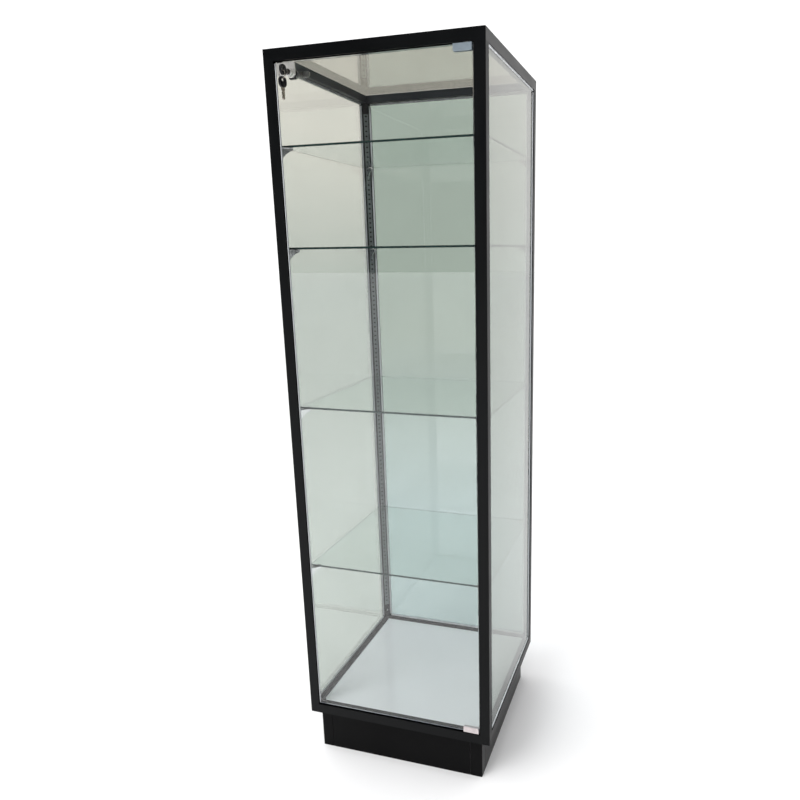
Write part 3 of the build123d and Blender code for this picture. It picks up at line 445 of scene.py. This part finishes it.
def door_edge_strip():
    """The clear dust strip pushed onto the door's free edge: a thin U round the glass."""
    low, high = node_box("door_glass")
    wall, reach, nose = 0.45 * MM, 0.9 * MM, 2.0 * MM
    slack, edge_gap, end_gap = 0.05 * MM, 0.1 * MM, 2 * MM
    front, back, edge = low.y - slack, high.y + slack, low.x - edge_gap
    outline = [
        (edge + reach, front - wall),
        (edge + reach, front),
        (edge, front),
        (edge, back),
        (edge + reach, back),
        (edge + reach, back + wall),
        (edge - wall, back + wall),
        (edge - nose, (front + back) / 2 + wall),
        (edge - nose, (front + back) / 2 - wall),
        (edge - wall, front - wall),
    ]
    vinyl = clear_vinyl("clear_strip", Z_AXIS)
    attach(extruded("door_edge_strip", outline, low.z + end_gap, high.z - end_gap, vinyl), "door")


def post_painted_shadow_strip():
    """A thin black strip up the front left post, just behind the closed door: painted shade standing for
    the dark shadow gap there.
    """
    post_low, post_high = node_box("post_front_left")
    _, glass_high = node_box("door_glass")
    stop_low, _ = node_box("door_stops")
    thickness, gap, taper = 1.7 * MM, 0.5 * MM, 0.4 * MM
    past_stop, clear_of_stops = 3.2 * MM, 10 * MM
    inner_face = post_high.x
    front, back = glass_high.y + gap, stop_low.y + past_stop
    outline = [
        (inner_face, front),
        (inner_face + thickness, front + taper),
        (inner_face + thickness, back - taper),
        (inner_face, back),
    ]
    low, high = post_low.z + clear_of_stops, post_high.z - clear_of_stops
    shadow_strip_finish = moulded_plastic("black_painted_shadow_strip", (0.01, 0.01, 0.011), 0.8)
    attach(extruded("post_painted_shadow_strip", outline, low, high, shadow_strip_finish), "cabinet")


def node_box(name):
    """The lowest and highest corner of a CAD node."""
    node = NODES[name]
    corners = [node.matrix_world @ Vector(corner) for corner in node.bound_box]
    low = Vector(min(corner[i] for corner in corners) for i in range(3))
    high = Vector(max(corner[i] for corner in corners) for i in range(3))
    return low, high


# ---- Giving the CAD nodes their looks
WELD_DISTANCE = 0.01 * MM
SHARP_ANGLE = math.radians(40)  # edges sharper than this are rounded


def dress(names, mat, edge=0.0):
    """Puts a material on CAD nodes, and softens their edges by a radius in metres."""
    for name in names:
        node = NODES[name]
        node.data.materials.clear()
        node.data.materials.append(mat)
        if edge > 0:
            weld = node.modifiers.new("weld", "WELD")
            weld.merge_threshold = WELD_DISTANCE
            round_edges = node.modifiers.new("round_edges", "BEVEL")
            round_edges.width = edge
            round_edges.segments = 2
            round_edges.limit_method = "ANGLE"
            round_edges.angle_limit = SHARP_ANGLE
            round_edges.harden_normals = True


def dress_frame():
    """The posts, the rails and the connectors. Two top rails are greyer, for the light on them."""
    dress([f"post_{c}" for c in CORNERS], black_anodised("black_anodised_posts", Z_AXIS))
    across = black_anodised("black_anodised_across", X_AXIS, sheen=0.1)
    deep = black_anodised("black_anodised_deep", Y_AXIS, sheen=0.1)
    for level in ("bottom", "top"):
        dress([f"{level}_rail_front", f"{level}_rail_rear"], across)
        dress([f"{level}_rail_left", f"{level}_rail_right"], deep)
    # Painted light: the left and rear top rails get a lighter colour for the light that falls on them.
    dress(["top_rail_left"], black_anodised("painted_lit_anodised_deep", Y_AXIS, sheen=0.1, painted_light_factor=12))
    dress(["top_rail_rear"], black_anodised("painted_lit_anodised_across", X_AXIS, sheen=0.1, painted_light_factor=8))
    dress(["corner_connectors"], black_casting())


def dress_glass():
    """Every pane and shelf, and the vinyl that holds them.

    All of it is the same clear glass. The tints differ because each is painted shade: it stands for the
    shade and colour of the room seen through it.
    """
    wall_edge = (0.06, 0.14, 0.11)
    side_low, left_high, right_high = (0.49, 0.53, 0.485), (0.71, 0.69, 0.62), (0.54, 0.54, 0.48)
    tint_start, tint_stop = 1.25, 1.65  # heights between which the side panes grow warmer
    left = clear_glass("pane_left", X_AXIS, wall_edge, side_low, left_high, tint_start, tint_stop)
    right = clear_glass("pane_right", X_AXIS, wall_edge, side_low, right_high, tint_start, tint_stop)
    rear = clear_glass("glass_rear", Y_AXIS, wall_edge, (0.37, 0.46, 0.45), (0.355, 0.415, 0.36))
    door = clear_glass("glass_door", Y_AXIS, (0.42, 0.44, 0.52), (0.95, 0.965, 0.96))
    top = clear_glass("glass_top", Z_AXIS, wall_edge, (0.51, 0.49, 0.42))
    shelf = clear_glass("glass_shelves", Z_AXIS, (0.02, 0.05, 0.045), (0.90, 0.95, 0.93))
    dress(["glass_left"], left)
    dress(["glass_right"], right)
    dress(["glass_rear"], rear)
    dress(["door_glass"], door)
    dress(["glass_top"], top)
    dress(SHELVES, shelf)
    dress([f"gasket_{s}" for s in ("left", "right", "rear")], clear_vinyl("clear_vinyl", Z_AXIS))
    dress(["gasket_top", "hinge_pads"], clear_vinyl("clear_vinyl_flat", X_AXIS))


def dress_fittings():
    """The standards, brackets, screws and hinges."""
    standard_zinc = satin_metal("satin_zinc", (0.24, 0.27, 0.27), 0.5, metallic=0.25)
    dress([f"standard_{c}" for c in CORNERS], standard_zinc)
    bright = bright_metal("chrome_plate", (0.72, 0.73, 0.75), 0.06)
    dress([f"{shelf}_brackets" for shelf in SHELVES] + ["lock_plug"], bright)
    dress(["connector_screws"], bright, 0.25 * MM)
    # The two hinge clips share one satin finish; their different colours are painted reflections.
    top_clip_painted_reflection = satin_metal("satin_clip_top", (0.31, 0.37, 0.42), 0.34, X_AXIS, metallic=0.45)
    dress(["hinge_clip_top"], top_clip_painted_reflection, 0.35 * MM)
    bottom_clip_painted_reflection = satin_metal("satin_clip_bottom", (0.70, 0.63, 0.63), 0.34, X_AXIS, metallic=0.45)
    dress(["hinge_clip_bottom"], bottom_clip_painted_reflection, 0.35 * MM)
    zinc_screws = satin_metal("zinc_screws", (0.58, 0.58, 0.56), 0.34)
    dress(["hinge_set_screws", "hinge_pins", "base_screws", "lock_cam", "cam_screw"], zinc_screws)
    dress(["hinge_bushes", "door_stops"], moulded_plastic("black_nylon", (0.008, 0.008, 0.008), 0.45))


def dress_lock():
    """The lock's shell and nut, and both keys on their ring."""
    # The shell's pale warm colour, made partly diffuse, is a painted reflection of the pale room in its
    # chrome.
    lock_chrome = bright_metal("lock_chrome", (0.70, 0.69, 0.66), 0.08, metallic=0.6)
    dress(["lock_housing"], lock_chrome, 0.3 * MM)
    dress(["lock_nut"], satin_metal("dark_nut", (0.05, 0.05, 0.055), 0.35))
    dress(["key_head", "spare_key_head"], moulded_plastic("key_plastic", (0.002, 0.002, 0.003), 0.34))
    nickel = bright_metal("key_nickel", (0.42, 0.38, 0.33), 0.2)
    dress(["key_blade", "spare_key_blade", "key_ring"], nickel)


def dress_boards():
    """The kick base, its glue blocks and the deck."""
    black_board = laminate(
        "black_laminate", (0.0020, 0.0020, 0.0022), (0.0040, 0.0040, 0.0042), 0.42, 0.06, sheen=1.0
    )
    dress([f"base_{s}" for s in SIDES] + ["base_corners"], black_board)
    dress(["base_blocks"], raw_timber())
    white_board = laminate(
        "white_laminate", (0.89, 0.92, 0.94), (0.92, 0.95, 0.965), 0.12, 0.5, coat=0.3
    )
    dress(["deck"], white_board)


make_camera()
make_studio()
dress_frame()
dress_glass()
dress_fittings()
dress_lock()
dress_boards()
door_edge_strip()
post_painted_shadow_strip()
